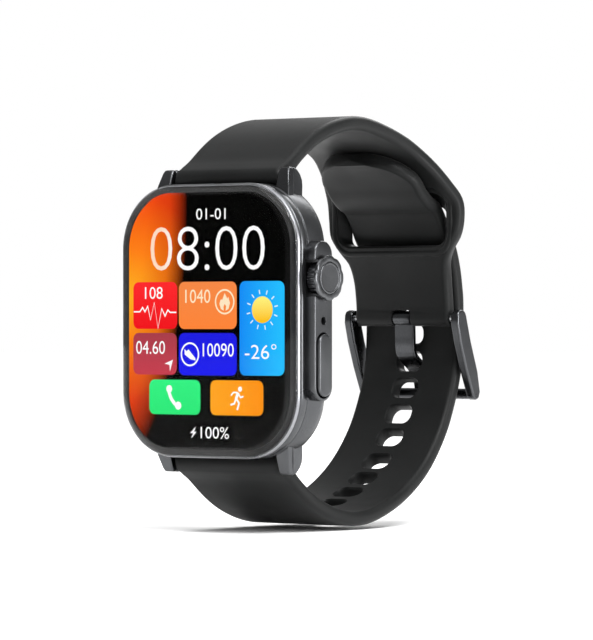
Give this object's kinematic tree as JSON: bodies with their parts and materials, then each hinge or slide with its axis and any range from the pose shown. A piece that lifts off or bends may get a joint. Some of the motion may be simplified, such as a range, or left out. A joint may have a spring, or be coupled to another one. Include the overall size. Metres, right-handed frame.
{
  "type": "smartwatch",
  "caption": "Rounded-rectangle smartwatch with curved-edge glass, scalloped crown, guarded side button, lit display and a buckled silicone band whose tail tucks inside.",
  "frame": {"origin": "middle of the sensor window's flat face, which lies on the wrist", "axes": "+Y out of that face into the wrist, +Z to twelve o'clock along the longest extent, +X to the crown side"},
  "size_m": [0.0401, 0.0597, 0.068],
  "materials": {
    "gunmetal": "satin gunmetal PVD on zinc alloy",
    "bezel": "bright satin steel",
    "buckle_metal": "satin gunmetal PVD on steel",
    "lens_glass": "polished strengthened glass",
    "sensor_glass": "gloss black sensor window",
    "silicone": "matte black moulded silicone",
    "seal_rubber": "matte black seal",
    "moulded_cover": "matte black moulded polycarbonate",
    "display": "lit display stack",
    "alloy": "stamped plate",
    "steel": "stainless steel",
    "board": "solder-masked circuit board",
    "battery_foil": "laminated cell pouch",
    "flex": "amber polyimide film",
    "gold": "gold-plated contact"
  },
  "bodies": {
    "case": {"mid_frame": "gunmetal", "front_bezel": "bezel", "glass_lens": "lens_glass", "sensor_window": "sensor_glass", "lens_adhesive": "seal_rubber", "back_gasket": "seal_rubber", "crown_seal": "seal_rubber", "button_seal": "seal_rubber", "back_cover": "moulded_cover", "speaker": "moulded_cover", "display_panel": "display", "inner_chassis": "alloy", "processor_shield": "steel", "vibration_motor": "steel", "microphone": "steel", "back_screw_1": "steel", "back_screw_2": "steel", "back_screw_3": "steel", "back_screw_4": "steel", "charge_magnet_left": "steel", "charge_magnet_right": "steel", "crown_tube": "steel", "crown_switch": "steel", "button_switch": "steel", "main_board": "board", "sensor_board": "board", "battery": "battery_foil", "display_flex": "flex", "charge_pin_left": "gold", "charge_pin_right": "gold"},
    "crown_carrier": {"crown_plunger": "steel", "crown_spring": "steel"},
    "crown": {"crown_stem": "steel", "crown_knob": "gunmetal", "crown_cap": "gunmetal", "crown_face": "bezel"},
    "side_button": {"button_cap": "gunmetal", "button_post": "steel"},
    "upper_band": {"upper_strap": "silicone", "upper_bar_tube": "steel", "upper_bar_tip": "steel", "upper_bar_spring": "steel", "buckle_bar": "steel"},
    "upper_release": {"upper_release_tip": "steel"},
    "lower_band": {"lower_strap": "silicone", "lower_bar_tube": "steel", "lower_bar_tip": "steel", "lower_bar_spring": "steel"},
    "lower_release": {"lower_release_tip": "steel"},
    "buckle_frame": {"buckle_frame": "buckle_metal"},
    "buckle_tongue": {"buckle_tongue": "buckle_metal"}
  },
  "joints": [
    {"name": "crown_press", "type": "slide", "parent": "case", "child": "crown_carrier", "axis": [-1, 0, 0], "range_m": [0, 0.00025], "stiffness_N_per_m": 400, "deforming": ["crown_spring"]},
    {"name": "crown_turn", "type": "hinge", "parent": "crown_carrier", "child": "crown", "pos_m": [0.0204, -0.00675, 0.00685], "axis": [1, 0, 0], "continuous": true},
    {"name": "side_button_press", "type": "slide", "parent": "case", "child": "side_button", "axis": [-1, 0, 0], "range_m": [0, 0.00035], "stiffness_N_per_m": 400},
    {"name": "upper_band_swing", "type": "hinge", "parent": "case", "child": "upper_band", "pos_m": [0, -0.005, 0.0233], "axis": [1, 0, 0], "range_deg": [-0.3, 0]},
    {"name": "lower_band_swing", "type": "hinge", "parent": "case", "child": "lower_band", "pos_m": [0, -0.005, -0.0233], "axis": [1, 0, 0], "range_deg": [0, 0.3]},
    {"name": "upper_bar_release", "type": "slide", "parent": "upper_band", "child": "upper_release", "axis": [-1, 0, 0], "range_m": [0, 0.0012], "stiffness_N_per_m": 300, "deforming": ["upper_bar_spring"]},
    {"name": "lower_bar_release", "type": "slide", "parent": "lower_band", "child": "lower_release", "axis": [-1, 0, 0], "range_m": [0, 0.0012], "stiffness_N_per_m": 300, "deforming": ["lower_bar_spring"]},
    {"name": "buckle_frame_swing", "type": "hinge", "parent": "upper_band", "child": "buckle_frame", "pos_m": [0, 0.0415, 0.00047], "axis": [1, 0, 0], "range_deg": [0, 0.5]},
    {"name": "buckle_tongue_swing", "type": "hinge", "parent": "upper_band", "child": "buckle_tongue", "pos_m": [0, 0.0415, 0.00047], "axis": [1, 0, 0], "range_deg": [0, 2]}
  ]
}
